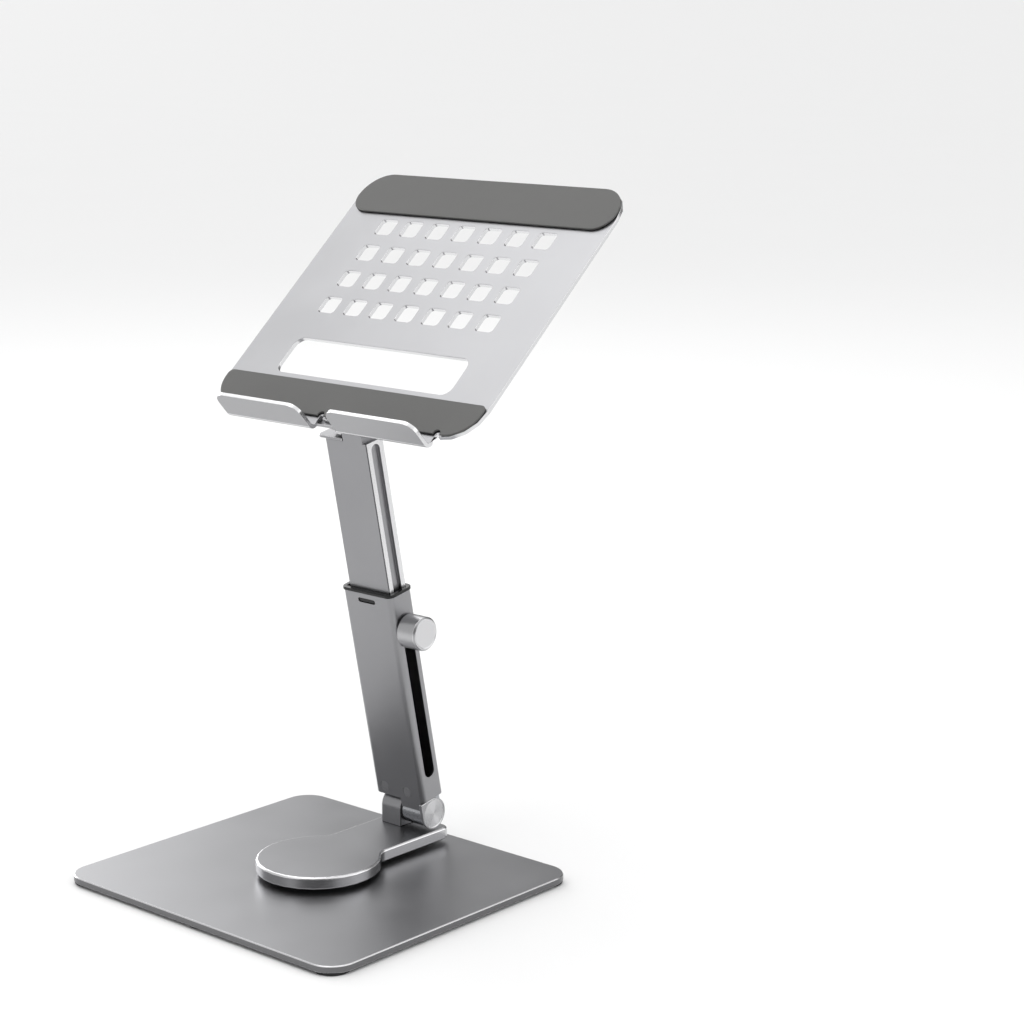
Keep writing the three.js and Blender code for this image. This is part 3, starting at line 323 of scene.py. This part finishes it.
# Painted dark reflection for the bar's corner line and the hinge lug's rounded edges.
DARK_REFLECTION_METAL = cut_metal("painted_dark_reflection", DARK_REFLECTION_GREY, roughness=0.25)
PIVOT = sum(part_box("hinge_nut"), Vector()) / 2
TURNED_METAL = turned_metal("turned_metal", CAP_GREY, roughness=0.2, axis=PIVOT)
KNOB_SIDE = cut_metal("knob_side", KNOB_GREY, roughness=0.34)
KNOB_FACE = cut_metal("knob_face", KNOB_END, roughness=0.3)
STEEL_METAL = cut_metal("zinc_steel", STEEL, roughness=0.3)
PAD_SILICONE = soft_material(
    "pad_silicone", SILICONE, roughness=0.62, grain_mm=0.3, depth_mm=0.03
)
FOOT_RUBBER = soft_material("foot_rubber", RUBBER, roughness=0.75, grain_mm=0.5, depth_mm=0.06)
BLACK_PLASTIC = moulded_plastic("black_plastic", BLACK, roughness=0.13)
DARK_ACETAL = moulded_plastic("dark_acetal", ACETAL, roughness=0.45)


# ---------------------------------------------------------------- mesh helpers
def clean_mesh(node):
    """A copy of a CAD node's mesh, welded, with its flat faces merged."""
    bm = bmesh.new()
    bm.from_mesh(frame["nodes"][node].data)
    bmesh.ops.remove_doubles(bm, verts=bm.verts, dist=WELD)
    bmesh.ops.dissolve_limit(
        bm, angle_limit=FLAT_ANGLE, use_dissolve_boundaries=False,
        verts=bm.verts, edges=bm.edges,
    )
    mesh = bpy.data.meshes.new(node + "_finish")
    bm.to_mesh(mesh)
    bm.free()
    if "custom_normal" in mesh.attributes:
        mesh.attributes.remove(mesh.attributes["custom_normal"])
    mesh.materials.clear()
    mesh.shade_smooth()
    return mesh


def show(piece, node):
    """The piece rides where the CAD node does and stands for it."""
    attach(piece, BODY_OF[node])
    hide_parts(node)


def soften(piece, width_mm, edge_material, segments):
    """Rounds the sharp edges, and gives the rounding its own material if there is one. Broad
    faces then keep their own normals, so that they stay flat up to the rounding."""
    bevel = piece.modifiers.new("edges", "BEVEL")
    bevel.width = width_mm * MM
    bevel.segments = segments
    bevel.limit_method = "ANGLE"
    bevel.angle_limit = SHARP_ANGLE
    bevel.use_clamp_overlap = False
    bevel.miter_outer = "MITER_ARC"
    if edge_material is not None:
        bevel.material = edge_material
    flat = piece.modifiers.new("flat_faces", "WEIGHTED_NORMAL")
    flat.mode = "FACE_AREA"
    flat.weight = FLAT_WEIGHT


def finished(node, materials, width_mm, edge_material=None, sort_face=None, segments=2):
    """A finished copy of a CAD node, with edges rounded over width_mm. sort_face picks which of
    the materials each face has, and edge_material says which one the rounding has."""
    mesh = clean_mesh(node)
    for material in materials:
        mesh.materials.append(material)
    if sort_face is not None:
        for face in mesh.polygons:
            face.material_index = sort_face(face)
    piece = bpy.data.objects.new(node + "_finish", mesh)
    bpy.context.scene.collection.objects.link(piece)
    soften(piece, width_mm, edge_material, segments)
    show(piece, node)
    return piece


def paint(node, material):
    """Gives a CAD node that stays as it is its material."""
    mesh = frame["nodes"][node].data
    mesh.materials.clear()
    mesh.materials.append(material)


# ---------------------------------------------------------------- pieces
def plate_face(face):
    """0 for a flat face, 1 for a chamfer, 2 for an upright side."""
    slope = abs(face.normal.z)
    if slope > SQUARE_ON:
        return 0
    return 1 if slope > TURNED else 2


def finish_base():
    # The plate's upright sides get a painted shade, darker than its top.
    plate_metals = [BASE_METAL, CUT_AND_HIGHLIGHT_METAL, PAINTED_SHADE_METAL]
    finished("base_plate", plate_metals, width_mm=0.1, sort_face=plate_face)
    for row in ("front", "rear"):
        for column in ("left", "middle", "right"):
            finished(f"foot_{row}_{column}", [FOOT_RUBBER], width_mm=0.25)
    finished("centre_pad", [FOOT_RUBBER], width_mm=0.25)
    finished("bearing_ring", [DARK_ACETAL], width_mm=0.1)
    paint("slip_washer", DARK_ACETAL)


def finish_swivel():
    # The swivel plate's chamfers and rounded rims get the light metal; on the rims it is a painted
    # highlight.
    swivel_metals = [BASE_METAL, CUT_AND_HIGHLIGHT_METAL, SWIVEL_RIM]
    finished(
        "swivel_plate", swivel_metals, width_mm=0.3, edge_material=1, sort_face=plate_face,
        segments=4,
    )
    # The lug's rounded edges get a painted dark reflection.
    finished("hinge_lug", [ARM_METAL, DARK_REFLECTION_METAL], width_mm=0.25, edge_material=1)
    paint("retaining_disc", STEEL_METAL)
    for i in (1, 2, 3):
        paint(f"retainer_screw_{i}", STEEL_METAL)
    for i in (1, 2):
        paint(f"lug_screw_{i}", STEEL_METAL)


def right_end(node, depth_mm, spread_mm):
    """A face sorter: 1 for the node's faces that look right, and lie depth_mm in from its right
    end, give or take spread_mm."""
    face_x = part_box(node)[1].x - depth_mm * MM
    tolerance = spread_mm * MM

    def sort(face):
        return 1 if face.normal.x > NEARLY_ON and abs(face.center.x - face_x) < tolerance else 0

    return sort


def finish_arm():
    finished("lower_tube", [ARM_METAL], width_mm=0.12)
    finished("tube_collar", [BLACK_PLASTIC], width_mm=0.3)
    finished("hinge_knuckle", [BARREL_METAL], width_mm=0.15)
    dish = right_end("hinge_cap", depth_mm=0.25, spread_mm=0.1)
    cap_metals = [TRAY_METAL, TURNED_METAL, CUT_AND_HIGHLIGHT_METAL]
    finished("hinge_cap", cap_metals, width_mm=0.2, edge_material=2, sort_face=dish)
    for i in (1, 2):
        finished(f"tube_rivet_{i}", [TRAY_METAL], width_mm=0.15)
    for node in ("hinge_pin", "spring_washer", "hinge_nut"):
        paint(node, STEEL_METAL)
    paint("friction_washer", DARK_ACETAL)


def bar_face(face):
    """1 for the polished rails on both sides of the bar, 2 for its corner line, a painted dark
    reflection.
    """
    flank = abs(face.normal.x)
    outside = min(BAR_RIGHT - face.center.x, face.center.x - BAR_LEFT) < RAIL_DEPTH
    if outside and flank > SQUARE_ON:
        return 1
    return 2 if outside and flank > SLIGHTLY_TURNED and abs(face.normal.z) < TURNED else 0


def finish_bar():
    # The bar's corner line gets a painted dark reflection.
    bar_metals = [BAR_METAL, RAIL_METAL, DARK_REFLECTION_METAL]
    finished("upper_bar", bar_metals, width_mm=0.12, sort_face=bar_face)
    finished("stop_plate", [BAR_METAL, CUT_AND_HIGHLIGHT_METAL], width_mm=0.15, edge_material=1)
    finished("stop_screw", [STEEL_METAL], width_mm=0.1)
    paint("slot_bush", DARK_ACETAL)


def finish_knob():
    end = right_end("lock_knob", depth_mm=0.2, spread_mm=0.1)
    knob_metals = [KNOB_SIDE, KNOB_FACE, CUT_AND_HIGHLIGHT_METAL]
    finished("lock_knob", knob_metals, width_mm=0.12, edge_material=2, sort_face=end)
    finished("lock_washer", [BARREL_METAL], width_mm=0.1)
    paint("lock_screw", STEEL_METAL)


def tray_face(face):
    """1 for the cut edges of the sheet: hook tips, hook sides, holes and the outer rim."""
    across = abs(face.normal.x)
    facing = abs(face.normal.dot(TRAY_NORMAL))
    along = abs(face.normal.dot(TRAY_UP))
    height = face.center.dot(TRAY_NORMAL) - SHEET_FACE
    if height > HOOK_START:
        return 1 if along < EDGE_ON and across + facing > NEARLY_ON else 0
    return 1 if facing < EDGE_ON and height > -SHEET_DEPTH else 0


def finish_tray():
    finished("tray_plate", [TRAY_METAL, CUT_AND_HIGHLIGHT_METAL], width_mm=0.2, sort_face=tray_face)
    finished("top_pad", [PAD_SILICONE], width_mm=0.3)
    finished("bottom_pad", [PAD_SILICONE], width_mm=0.3)
    finished("tray_hinge", [TRAY_METAL, CUT_AND_HIGHLIGHT_METAL], width_mm=0.2, edge_material=1)
    for i in (1, 2, 3, 4):
        finished(f"tray_screw_{i}", [STEEL_METAL], width_mm=0.12)
    finished("tray_nut", [STEEL_METAL], width_mm=0.2)
    finished("tray_washer", [STEEL_METAL], width_mm=0.1)
    paint("tray_pin", STEEL_METAL)
    paint("friction_disc_left", DARK_ACETAL)
    paint("friction_disc_right", DARK_ACETAL)


# ---------------------------------------------------------------- studio
def make_floor():
    """A matt white floor."""
    far = FLOOR_HALF
    mesh = bpy.data.meshes.new("floor")
    corners = [(-far, -far, 0), (far, -far, 0), (far, far, 0), (-far, far, 0)]
    mesh.from_pydata(corners, [], [(0, 1, 2, 3)])
    floor = bpy.data.objects.new("floor", mesh)
    bpy.context.scene.collection.objects.link(floor)
    material, tree, shader = start_material("floor")
    tint = tinted(tree, noise(tree, size_mm=300), PAPER, change=0.002)
    tree.links.new(tint, shader.inputs["Base Color"])
    shader.inputs["Roughness"].default_value = 0.9
    shader.inputs["Specular IOR Level"].default_value = 0.1
    mesh.materials.append(material)


def add_card(tree, direction, light, card):
    """Adds one soft-edged card to the dome's light, and returns the sum."""
    turn_right, rise, fade_in, full, strength = card
    turn = math.radians(CAMERA_TURN - turn_right)
    height = math.radians(rise)
    facing = tree.nodes.new("ShaderNodeVectorMath")
    facing.operation = "DOT_PRODUCT"
    facing.inputs[1].default_value = (
        -math.sin(turn) * math.cos(height), math.cos(turn) * math.cos(height), math.sin(height)
    )
    edge = tree.nodes.new("ShaderNodeMapRange")
    edge.interpolation_type = "SMOOTHSTEP"
    edge.inputs["From Min"].default_value = fade_in
    edge.inputs["From Max"].default_value = full
    edge.inputs["To Max"].default_value = strength
    total = tree.nodes.new("ShaderNodeMath")
    tree.links.new(direction, facing.inputs[0])
    tree.links.new(facing.outputs["Value"], edge.inputs["Value"])
    tree.links.new(edge.outputs["Result"], total.inputs[0])
    if light is None:
        total.inputs[1].default_value = DOME
    else:
        tree.links.new(light, total.inputs[1])
    return total.outputs["Value"]


def make_world():
    """A soft white dome with a few broad cards, bright and dark, as a product studio has."""
    world = bpy.data.worlds.new("studio")
    world.use_nodes = True
    tree = world.node_tree
    tree.nodes.clear()
    direction = tree.nodes.new("ShaderNodeTexCoord").outputs["Generated"]
    light = None
    for card in CARDS:
        light = add_card(tree, direction, light, card)
    background = tree.nodes.new("ShaderNodeBackground")
    background.inputs["Color"].default_value = (1, 1, 1, 1)
    output = tree.nodes.new("ShaderNodeOutputWorld")
    tree.links.new(light, background.inputs["Strength"])
    tree.links.new(background.outputs["Background"], output.inputs["Surface"])
    bpy.context.scene.world = world


def soft_light(name, place, size, power):
    light = bpy.data.lights.new(name, "AREA")
    light.shape = "RECTANGLE"
    light.size = size[0]
    light.size_y = size[1]
    light.energy = power
    lamp = bpy.data.objects.new(name, light)
    lamp.location = place
    aim = Vector(AIM) - Vector(place)
    lamp.rotation_mode = "QUATERNION"
    lamp.rotation_quaternion = aim.to_track_quat("-Z", "Y")
    bpy.context.scene.collection.objects.link(lamp)


def make_lights():
    for name, place, size, power in LAMPS:
        soft_light(name, place, size, power)


def make_camera():
    data = bpy.data.cameras.new("camera")
    data.lens = CAMERA_LENS
    data.sensor_width = SENSOR
    camera = bpy.data.objects.new("camera", data)
    camera.location = CAMERA_PLACE
    camera.rotation_euler = (math.radians(CAMERA_PITCH), 0, math.radians(CAMERA_TURN))
    bpy.context.scene.collection.objects.link(camera)
    bpy.context.scene.camera = camera


make_camera()
make_world()
make_lights()
make_floor()
finish_base()
finish_swivel()
finish_arm()
finish_bar()
finish_knob()
finish_tray()
bpy.context.scene.view_settings.view_transform = "Standard"
